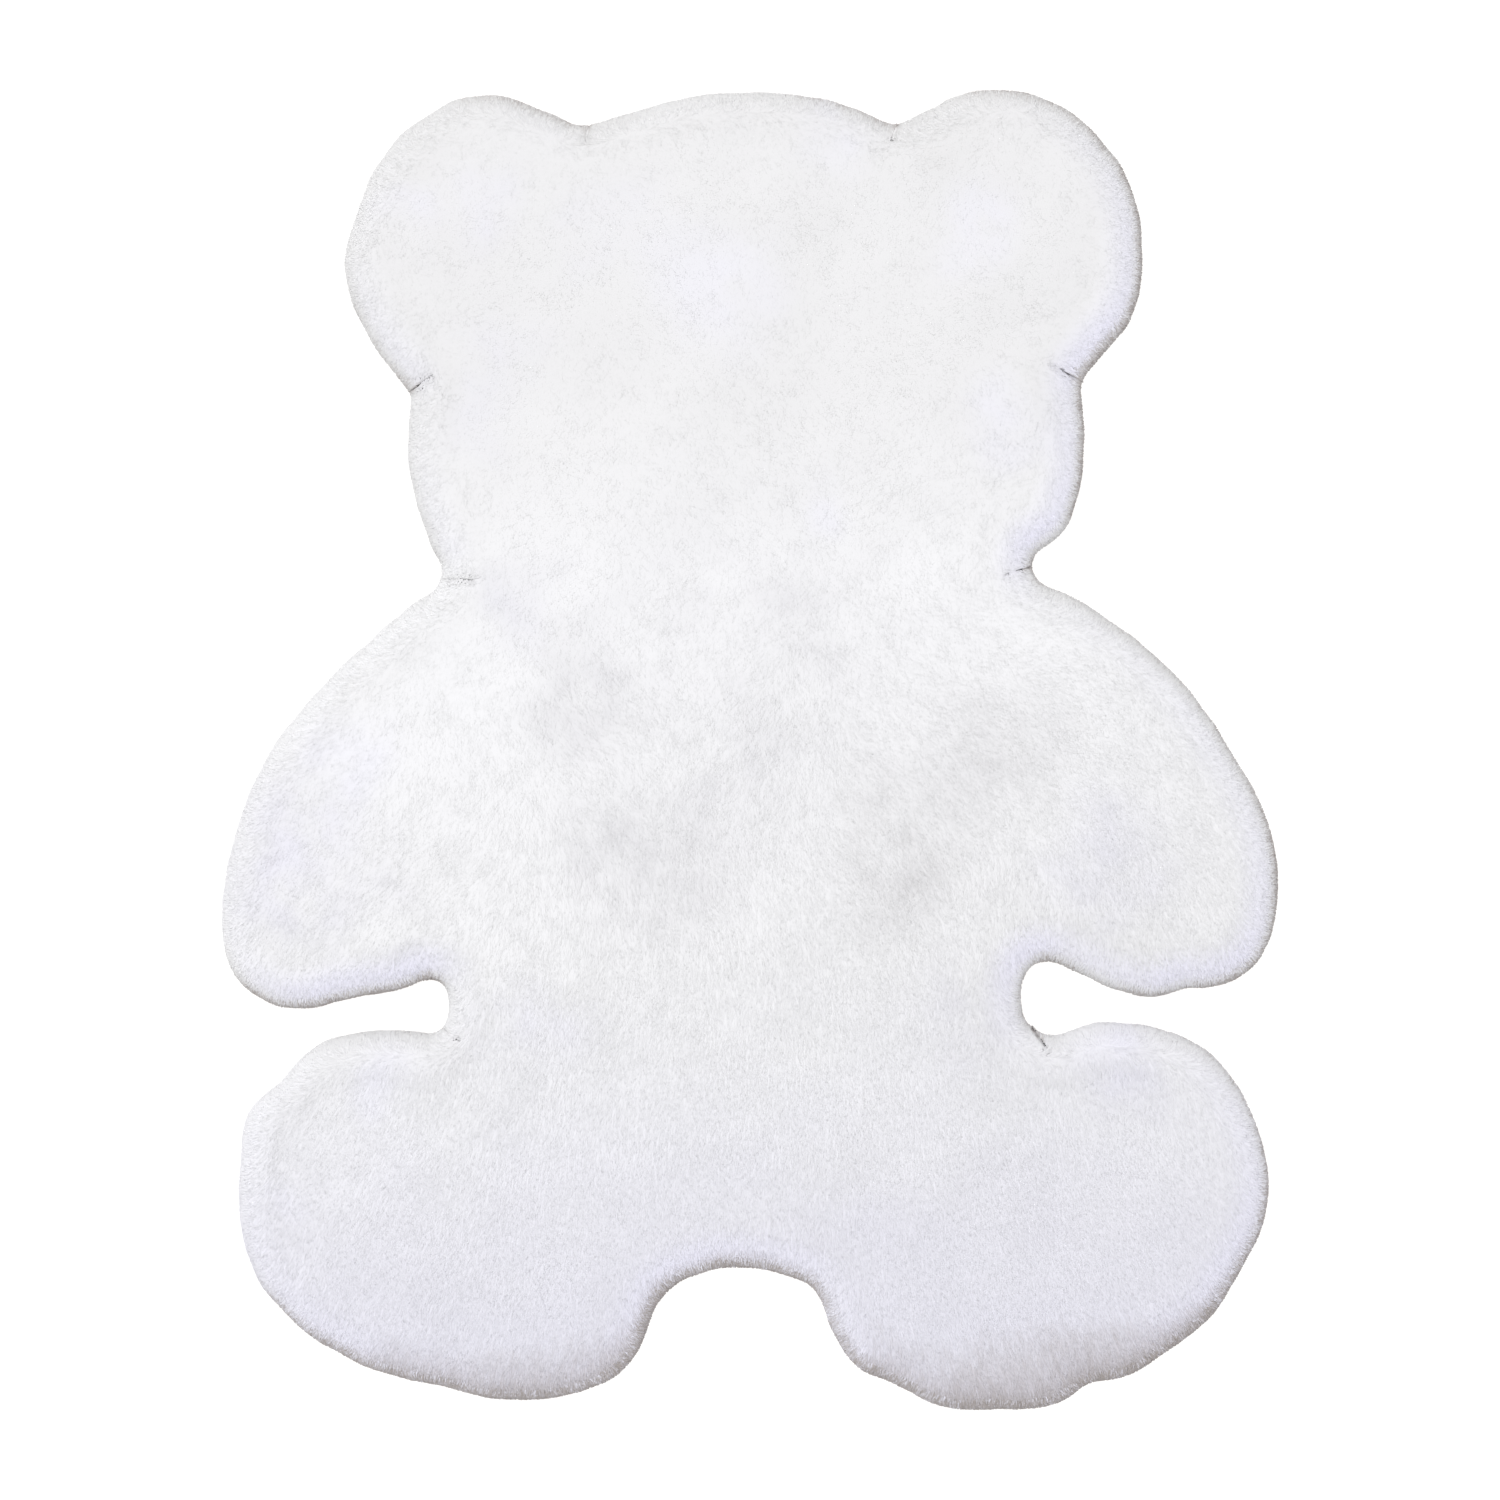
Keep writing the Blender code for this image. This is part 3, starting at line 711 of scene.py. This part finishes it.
def underfur(line, material):
    """The dense fur at the pile's foot: a lumpy closed body inside the locks."""
    chance = np.random.default_rng(SEED + 2)
    normals = outward(line)
    rim = line - normals * MAT_INSET
    base = line - normals * MAT_BASE_INSET
    keep_line = np.abs(depth.at(*rim.T) - MAT_INSET) < MAT_RIM_STRAY
    rim, base = (smoothed_line(edge, MAT_SMOOTHING)[keep_line][::MAT_SKIP] for edge in (rim, base))
    points = []
    for inset in MAT_RINGS:
        ring = (line - normals * inset)[::MAT_SKIP]
        points.append(ring[np.abs(depth.at(*ring.T) - inset) < MAT_RING_STRAY])
    x, y = staggered_grid(MAT_PITCH, MAT_JITTER, chance)
    keep = depth.at(x, y) > MAT_RINGS[-1] + MAT_PITCH / 2
    points = np.vstack([*points, columns(x, y)[keep]])

    def height(x, y):
        inner = np.maximum(depth.at(x, y) - MAT_INSET, 0.0)
        rise = (slope_height(inner) - RIM_HEIGHT) / (PILE_TOP - RIM_HEIGHT)
        lumps = MAT_ROUGHNESS * soft_noise(x, y, MAT_LUMP, LUMPS)
        lift = top.at(x, y) - slope_height(depth.at(x, y)) - CLEFT_DEPTH * cleft_sink_and_painted_shade(x, y)
        loose, laid = MAT_DEPTH
        start, end = MAT_LAID
        below = loose + (laid - loose) * blend(0.0, 1.0, (y - MAT_TURN * x - start) / (end - start))
        return MAT_RIM_HEIGHT + (PILE_TOP - below - MAT_RIM_HEIGHT + lift + lumps) * rise

    mesh = slab("underfur", rim, points, height, base, CLOTH_THICKNESS + MAT_CLEARANCE)
    x, y, _ = np.array([vertex.co for vertex in mesh.vertices]).T
    grey, lilac = with_rim_tones(x, y, *tones_at(x, y))
    # painted shade in the clefts
    grey = shaded(grey, cleft_sink_and_painted_shade(x, y))
    along, own = np.full(len(x), MAT_ALONG), np.full(len(x), MAT_OWN_TONE)
    add_pile_colours(mesh, along, grey, lilac, own)
    triangles = np.array([polygon.vertices[:] for polygon in mesh.polygons])
    looks_up = np.array([polygon.normal.z > 0.0 for polygon in mesh.polygons])[:, None, None]
    places, _ = within_square(x, y, MAT_PITCH)
    corners = places[triangles]
    add_map(mesh, np.where(looks_up, corners, corners * UNDERSIDE_MAP + UNDERSIDE_PLACE))
    mesh.shade_smooth()
    return new_piece("underfur", mesh, material)


def laid_share(y):
    """How far the pile lies in order at this height on the rug, from 0 to 1."""
    return blend(0.0, 1.0, (y - FLOW_LAID[0]) / (FLOW_LAID[1] - FLOW_LAID[0]))


def flow_at(x, y, chance):
    """The way that the pile lies at a place, with each lock's own stray."""
    laid = laid_share(y)
    swirl = soft_noise(x, y, SWIRL, SWIRLING)
    swirl += SMALL_SWIRLS * soft_noise(x, y, SWIRL * SMALL_SWIRL, SMALL_SWIRLING)
    angle = FLOW_SPREAD * x - np.pi / 2 + SWIRLS * (1.0 - SWIRLS_LAID * laid) * swirl
    share = 1.0 - blend(0.0, RADIAL_BAND, depth.at(x, y))
    free = columns(np.cos(angle), np.sin(angle))
    way = unit(free * (1.0 - share)[:, None] + out.at(x, y) * (RADIAL_PULL * share)[:, None])
    loose, tidy = FLOW_JITTER
    jitter = (loose + (tidy - loose) * laid) * (1.0 - RADIAL_ORDER * share)
    stray = chance.uniform(-1.0, 1.0, len(x)) * jitter
    cos, sin = np.cos(stray), np.sin(stray)
    return columns(way[:, 0] * cos - way[:, 1] * sin, way[:, 0] * sin + way[:, 1] * cos)


def clump_pull(x, y):
    """How far a tip is drawn towards the middle of its clump."""
    rises = []
    for step_x, step_y in ((CLUMP_REACH, 0.0), (0.0, CLUMP_REACH)):
        before = soft_noise(x - step_x, y - step_y, CLUMP, CLUMPS)
        rises.append(soft_noise(x + step_x, y + step_y, CLUMP, CLUMPS) - before)
    return CLUMP_PULL * np.column_stack(rises) / CLUMP_SLOPE


def field_stems(x, y, chance):
    """The locks' roots and tips, the way that the pile faces there, and their middles."""
    normal = normal_at(x, y)
    near_rim = 1.0 - blend(FIELD_EDGE, RADIAL_BAND, depth.at(x, y))
    lean = chance.uniform(*LOCK_LEAN, len(x)) * (1.0 + LOW_LEAN * laid_share(y) + RIM_LEAN * near_rim)
    lean = np.minimum(lean, EDGE_LEAN * depth.at(x, y))
    flat_root = columns(x, y)
    flat_tip = flat_root + flow_at(x, y, chance) * lean[:, None] + clump_pull(x, y)
    flat_tip = part_at_clefts(flat_root, flat_tip)
    rise = chance.uniform(*LOCK_RISE, len(x))
    tips = columns(flat_tip, top.at(*flat_tip.T)) + normal * rise[:, None]
    roots = columns(x, y, top.at(x, y)) - normal * LOCK_ROOT_DEPTH
    roots[:, :2] = part_at_clefts(flat_root, roots[:, :2])
    facing = unit(normal + np.outer(RIM_UPWARD * near_rim, (0.0, 0.0, 1.0)))
    return np.stack([roots, tips], axis=1), facing, (flat_root + flat_tip).T / 2


def field_locks(material):
    """The locks that stand on the rug's top, in one piece for each band of the rug."""
    chance = np.random.default_rng(SEED + 3)
    x, y = staggered_grid(LOCK_PITCH, LOCK_JITTER, chance)
    keep = depth.at(x, y) > FIELD_EDGE
    x, y = x[keep], y[keep]
    order = np.argsort(y)
    x, y = x[order], y[order]
    count = len(x)
    stems, facing, middle = field_stems(x, y, chance)
    radii = chance.uniform(*LOCK_RADIUS, (count, 1))
    roll = chance.uniform(-LOCK_ROLL, LOCK_ROLL, count)
    own = own_tones_and_painted_light(*middle, chance)
    grey, lilac = with_rim_tones(*middle, *tones_at(*middle))
    grey = np.clip(grey + chance.normal(0.0, LOCK_TONE_STRAY, count), 0.0, 1.0)
    # painted shade beside the clefts
    grey = shaded(grey, CLEFT_SHADE * cleft_sink_and_painted_shade(x, y))
    made = []
    for name, part in zip(FIELD_PIECES, np.array_split(np.arange(count), len(FIELD_PIECES))):
        places, metre = within_square(x[part], y[part], LOCK_PITCH)
        mesh = lock_mesh(
            name, stems[part], radii[part], roll[part], facing[part], places,
            LOCK_PITCH * LOCK_MAP_RADIUS * metre, (grey[part], lilac[part]), own[part],
        )
        made.append(new_piece(name, mesh, material))
    return made


class Rim:
    """Places by distance along the rim, distance up its round profile, and distance off it."""

    def __init__(self, line):
        self.line = line
        self.length = lengths_along(line)[-1]
        self.ways = smoothed_line(outward(line), WAY_SMOOTHING)
        height = np.linspace(0.0, RIM_HEIGHT, PROFILE_STEPS)
        under = BASE_INSET * (1.0 - np.sin(height / RIM_HEIGHT * np.pi / 2))
        inset = np.linspace(0.0, RIM_ROUND, PROFILE_STEPS)[1:]
        inset = RIM_ROUND * (inset / RIM_ROUND) ** 2
        self.deep = np.concatenate([under, inset])
        self.high = np.concatenate([height, slope_height(inset)])
        steps = np.hypot(np.diff(self.deep), np.diff(self.high))
        self.along = np.concatenate([[0.0], np.cumsum(steps)])

    def inset(self, place):
        return np.interp(place, self.along, self.deep)

    def height(self, place):
        return np.interp(place, self.along, self.high)

    def at(self, stations, place, off):
        """The points there, and the ways that the profile faces."""
        place = np.clip(place, 0.0, self.along[-1])
        above, below = place + PROFILE_SLOPE_STEP, place - PROFILE_SLOPE_STEP
        ahead_up, ahead_in = self.height(above) - self.height(below), self.inset(above) - self.inset(below)
        face = unit(columns(ahead_up, ahead_in))  # outwards, upwards
        way = unit(read_along(self.line, self.ways, stations))
        at = read_along(self.line, self.line, stations)
        flat = at - way * (self.inset(place) - face[:, 0] * off)[:, None]
        facing = columns(way * face[:, :1], face[:, 1])
        return columns(flat, self.height(place) + face[:, 1] * off), facing


def rim_places(rim, start, end, row_pitch, pitch, chance):
    """Where a piece's locks stand: distances along and up the rim, and the points there."""
    rows = np.arange(start, end, row_pitch)
    per_row = round(rim.length / pitch)
    stagger = 0.5 * (np.arange(len(rows)) % 2)[:, None]
    stations = (np.arange(per_row) + stagger) * rim.length / per_row
    along, up = RIM_JITTER
    stations += chance.uniform(-along, along, stations.shape) * pitch
    places = rows[:, None] + chance.uniform(-up, up, stations.shape) * row_pitch
    stations, places = stations.ravel() % rim.length, places.ravel()
    at, _ = rim.at(stations, places, 0.0)
    keep = depth.at(*at[:, :2].T) > rim.inset(places) - RIM_CROWDING
    return stations[keep], places[keep], at[keep]


def rim_stems(rim, stations, places, at, fall, chance):
    """The locks' points from root to tip, and the way that the pile faces there."""
    count = len(stations)
    fall = chance.uniform(*fall, count)
    side = chance.normal(0.0, RIM_SIDE_SPREAD, count) * RIM_SIDE
    side += RIM_SIDE * RIM_SWAY * soft_noise(stations, places * SWAY_HEIGHT, RIM_SWAY_SIZE, SWAYING)
    off = chance.uniform(-1.0, 0.0, count) * RIM_TIP_SPREAD
    off += RIM_WAVE * soft_noise(stations, places, RIM_WAVE_SIZE, WAVES)
    root, _ = rim.at(stations, places, -RIM_ROOT_DEPTH)
    middle, facing = rim.at(
        stations + side * RIM_MIDDLE, places - fall * RIM_MIDDLE, off * RIM_MIDDLE_OFF - RIM_MIDDLE_SINK
    )
    tip, _ = rim.at(stations + side, places - fall, off)
    stems = np.stack([root, middle, tip], axis=1)
    for level in range(stems.shape[1]):
        stems[:, level, :2] = part_at_clefts(at[:, :2], stems[:, level, :2])
    stems[..., 2] = np.maximum(stems[..., 2], FLOOR_CLEARANCES)
    return stems, unit(facing + (0.0, 0.0, RIM_UPWARD))


def rim_tones(x, y, stations, places, chance):
    """How grey and how lilac the rim's locks are, with their painted shade."""
    grey, lilac = with_rim_tones(x, y, *tones_at(x, y))
    stray = RIM_TONE_STRAY * chance.uniform(-1.0, 1.0, len(x))
    stray += RIM_TUFT_TONE * soft_noise(stations, places * TUFT_HEIGHT, RIM_TUFT, TUFTS)
    grey = np.clip(grey * (1.0 + stray), 0.0, 1.0)
    # painted shade beside the clefts
    return shaded(grey, CLEFT_SHADE * cleft_sink_and_painted_shade(x, y)), lilac


def rim_map(rim, stations, up, pitch):
    """Places on the rim's map, where up runs from 0 to 1 over a strip, and a metre's size on it."""
    strip = rim.length / MAP_STRIPS
    metre = 1.0 / (strip + 2.0 * pitch)
    map_x = (stations % strip + pitch) * metre
    map_y = np.floor(stations / strip) + STRIP_MARGIN + (1.0 - 2.0 * STRIP_MARGIN) * up
    map_y = np.clip(map_y, MAP_MARGIN, MAP_STRIPS - MAP_MARGIN) / MAP_STRIPS
    return columns(map_x, map_y), metre


def rim_locks(line, material):
    """The curved locks that spill over the rim, in rows up its profile."""
    rim = Rim(line)
    made = []
    for number, (name, start, end, row_pitch, pitch, girth, *fall) in enumerate(RIM_ROWS):
        chance = np.random.default_rng(SEED * 10 + number)
        stations, places, at = rim_places(rim, start, end, row_pitch, pitch, chance)
        stems, facing = rim_stems(rim, stations, places, at, fall, chance)
        radii = chance.uniform(*LOCK_RADIUS, (len(stems), 1)) * girth * (1.0, RIM_TAPER)
        roll = chance.uniform(-LOCK_ROLL, LOCK_ROLL, len(stems))
        x, y = (at[:, :2] + stems[:, -1, :2]).T / 2
        own = own_tones_and_painted_light(x, y, chance)
        tones = rim_tones(x, y, stations, places, chance)
        flat, metre = rim_map(rim, stations, (places - start) / (end - start), pitch)
        radius = pitch * RIM_MAP_RADIUS * metre
        mesh = lock_mesh(name, stems, radii, roll, facing, flat, radius, tones, own)
        made.append(new_piece(name, mesh, material))
    return made


# ---- Materials


class Nodes:
    """Short names for adding and linking the nodes of one material."""

    def __init__(self, name):
        self.material = bpy.data.materials.new(name)
        self.material.use_nodes = True
        self.tree = self.material.node_tree
        self.surface = self.tree.nodes["Principled BSDF"]

    def feed(self, socket, value):
        """Links the socket to another one, or sets it."""
        if isinstance(value, bpy.types.NodeSocket):
            self.tree.links.new(value, socket)
        else:
            socket.default_value = value

    def add(self, kind, inputs=None, **settings):
        node = self.tree.nodes.new("ShaderNode" + kind)
        for key, value in settings.items():
            setattr(node, key, value)
        for key, value in (inputs or {}).items():
            self.feed(node.inputs[key], value)
        return node

    def mix(self, share, a, b, how="MIX"):
        node = self.add("Mix", {0: share, 6: a, 7: b}, data_type="RGBA", blend_type=how)
        return node.outputs[2]

    def times(self, a, b):
        return self.add("Math", {0: a, 1: b}, operation="MULTIPLY").outputs[0]

    def ramp(self, value, low, high, to_low, to_high):
        return self.add("MapRange", {0: value, 1: low, 2: high, 3: to_low, 4: to_high}).outputs[0]

    def set(self, **values):
        for key, value in values.items():
            self.feed(self.surface.inputs[key.replace("_", " ")], value)


WHOLE = (1.0, 1.0, 1.0, 1.0)
WHITE = (0.714, 0.714, 0.717, 1.0)
# GREY and LILAC are the colours of the pile's painted grey and lilac shade
GREY = (0.612, 0.609, 0.603, 1.0)
# the colour of dark painted shade on the rim, in the clefts and at the feet
PAINTED_SHADE = (0.353, 0.320, 0.307, 1.0)
LILAC = (0.704, 0.699, 0.778, 1.0)
# painted shade deep in the pile, at a lock's root
ROOT = (0.970, 0.965, 0.980, 1.0)
ROOT_REACH = 0.75  # share of a lock's length over which the painted shade at its root fades
NOISE_SPREAD = (0.3, 0.7)  # the values that a noise keeps to
FIBRE_TONES = (0.98, 1.01)  # dark and light fibres in a lock
FIBRE_ROUGHNESS = (0.78, 0.92)
FIBRE_HEIGHT = 0.0004
LONG_RELIEF, DENSE_RELIEF = 0.12, 0.15  # how far the fibres' relief shows in the two kinds of pile
OWN_TONES = (0.97, 1.09)  # the darkest and the lightest lock
LIGHTEST_OWN = 3.0  # own tone of the lightest, which the painted light at the rim reaches
KNIT_COLOURS = ((0.62, 0.61, 0.60, 1.0), (0.80, 0.79, 0.77, 1.0))


def pile_material(name, relief):
    """Plush pile: white, with painted grey and lilac shade where it is brushed back, painted shade at its
    root, and dark painted shade on the rim.
    """
    n = Nodes(name)
    pile = n.add("Attribute", attribute_name="pile")
    parts = n.add("SeparateColor", {0: pile.outputs["Color"]})
    along, grey, lilac = parts.outputs
    own = pile.outputs["Alpha"]
    place = n.add("TexCoord").outputs["Object"]
    fibre = n.add("TexNoise", {"Vector": place, "Scale": 1400.0, "Detail": 3.0, "Roughness": 0.6})
    # white, with painted grey and lilac shade
    colour = n.mix(n.ramp(grey, 0.0, GREY_AT, 0.0, 1.0), WHITE, GREY)
    colour = n.mix(lilac, colour, LILAC)
    # painted shade at the root
    colour = n.mix(1.0, colour, n.mix(n.ramp(along, 0.0, ROOT_REACH, 1.0, 0.0), WHOLE, ROOT), "MULTIPLY")
    # dark painted shade on the rim, in the clefts and at the feet
    colour = n.mix(n.ramp(grey, GREY_AT, 1.0, 0.0, 1.0), colour, PAINTED_SHADE)
    # a lock's own tone at random, with painted light near the rim
    own_tone = n.ramp(own, 0.0, LIGHTEST_OWN, *OWN_TONES)
    fibre_tone = n.ramp(fibre.outputs[0], *NOISE_SPREAD, *FIBRE_TONES)
    tone = n.times(own_tone, fibre_tone)
    tone_colour = n.add("CombineColor", {0: tone, 1: tone, 2: tone}).outputs[0]
    colour = n.mix(1.0, colour, tone_colour, "MULTIPLY")
    roughness = n.ramp(fibre.outputs[0], *NOISE_SPREAD, *FIBRE_ROUGHNESS)
    bump = n.add("Bump", {"Strength": relief, "Distance": FIBRE_HEIGHT, "Height": fibre.outputs[0]})
    n.set(
        Base_Color=colour, Roughness=roughness, Specular_IOR_Level=0.25, Sheen_Weight=0.10,
        Sheen_Roughness=0.5, Normal=bump.outputs[0],
    )
    return n.material


def cloth_material():
    """Knitted ground cloth: fine off-white ribs."""
    n = Nodes("ground_knit")
    place = n.add("TexCoord").outputs["Object"]
    ribs = n.add("TexWave", {"Vector": place, "Scale": 160.0, "Distortion": 1.2, "Detail": 1.0})
    loops = n.add("TexWave", {"Vector": place, "Scale": 220.0, "Distortion": 0.8}, bands_direction="Y")
    knit = n.times(ribs.outputs["Fac"], loops.outputs["Fac"])
    bump = n.add("Bump", {"Strength": 0.6, "Distance": 0.0005, "Height": knit})
    colour = n.mix(knit, *KNIT_COLOURS)
    n.set(Base_Color=colour, Roughness=0.9, Specular_IOR_Level=0.2, Normal=bump.outputs[0])
    return n.material


def floor_material():
    n = Nodes("studio_floor")
    place = n.add("TexCoord").outputs["Object"]
    cloud = n.add("TexNoise", {"Vector": place, "Scale": 0.6, "Detail": 2.0})
    tone = n.ramp(cloud.outputs[0], *NOISE_SPREAD, 0.0, 1.0)
    n.set(Base_Color=n.mix(tone, *FLOOR_COLOURS), Roughness=0.9, Specular_IOR_Level=0.1)
    n.set(Emission_Color=FLOOR_GLOW, Emission_Strength=FLOOR_GLOW_STRENGTH)
    return n.material


# ---- Studio


def studio():
    scene = bpy.context.scene
    scene.view_settings.view_transform = "Standard"
    camera = bpy.data.cameras.new("camera")
    camera.sensor_width = SENSOR
    camera.lens = SENSOR * (CAMERA_HEIGHT - RIM_HEIGHT) / FRAME_WIDTH
    camera.clip_end = 100.0
    scene.camera = add_object("camera", camera, (0.0, 0.0, CAMERA_HEIGHT))

    key = bpy.data.lights.new("key", "AREA")
    key.shape = "SQUARE"
    key.size = KEY_SIZE
    key.energy = KEY_POWER
    lamp = add_object("key", key, KEY_PLACE)
    lamp.rotation_euler = Vector(KEY_PLACE).to_track_quat("Z", "Y").to_euler()

    world = bpy.data.worlds.new("sky")
    world.use_nodes = True
    background = world.node_tree.nodes["Background"]
    background.inputs["Color"].default_value = SKY_COLOUR
    background.inputs["Strength"].default_value = SKY_STRENGTH
    scene.world = world

    work = bmesh.new()
    bmesh.ops.create_grid(work, x_segments=8, y_segments=8, size=FLOOR_SIZE / 2)
    mesh = bpy.data.meshes.new("floor")
    work.to_mesh(mesh)
    work.free()
    mesh.materials.append(floor_material())
    floor = add_object("floor", mesh, (0.0, 0.0, -FLOOR_GAP))


# ---- The scene

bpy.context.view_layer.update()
solid, solid_faces = solid_arrays(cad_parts["fur_rug"])
touches_floor = solid[:, 2] < WELD
corners_down = touches_floor[solid_faces].sum(axis=1)
rim_corners = border(solid_faces[corners_down == 0])
base_corners = border(solid_faces[corners_down == 3])[::-1]

half_x, half_y = np.abs(solid[:, 0]).max(), np.abs(solid[:, 1]).max()
GRID_X = np.arange(-half_x - GRID_MARGIN, half_x + GRID_MARGIN, GRID_STEP)
GRID_Y = np.arange(-half_y - GRID_MARGIN, half_y + GRID_MARGIN, GRID_STEP)

rim_line = smoothed_line(evenly_spaced(solid[rim_corners, :2], RIM_STEP), RIM_SMOOTHING)
rim_line = rim_line + outward(rim_line) * RIM_REACH
rim_line = evenly_spaced(rim_line, RIM_STEP)
base_line = evenly_spaced(solid[base_corners, :2], BASE_STEP)

depth = Field(depth_grid(evenly_spaced(rim_line, DEPTH_STEP)))
down_slope = np.stack(np.gradient(-blurred(depth.values, OUT_SMOOTHING))[::-1], axis=-1)
out = Field(unit(down_slope))
solid_top = solid_top_grid(solid, solid_faces)
law = slope_height(depth.values)
solid_top = np.where(solid_top > 0.0, solid_top, law)
share = blend(*SLOPE_BLEND, depth.values)
top = Field(law + (blurred(solid_top, TOP_SMOOTHING) - law) * share)

fur = pile_material("long_pile", LONG_RELIEF)
dense = pile_material("dense_pile", DENSE_RELIEF)
pieces = [underfur(rim_line, dense), *rim_locks(rim_line, fur), *field_locks(fur)]
cloth = ground_cloth(base_line, cloth_material())

studio()
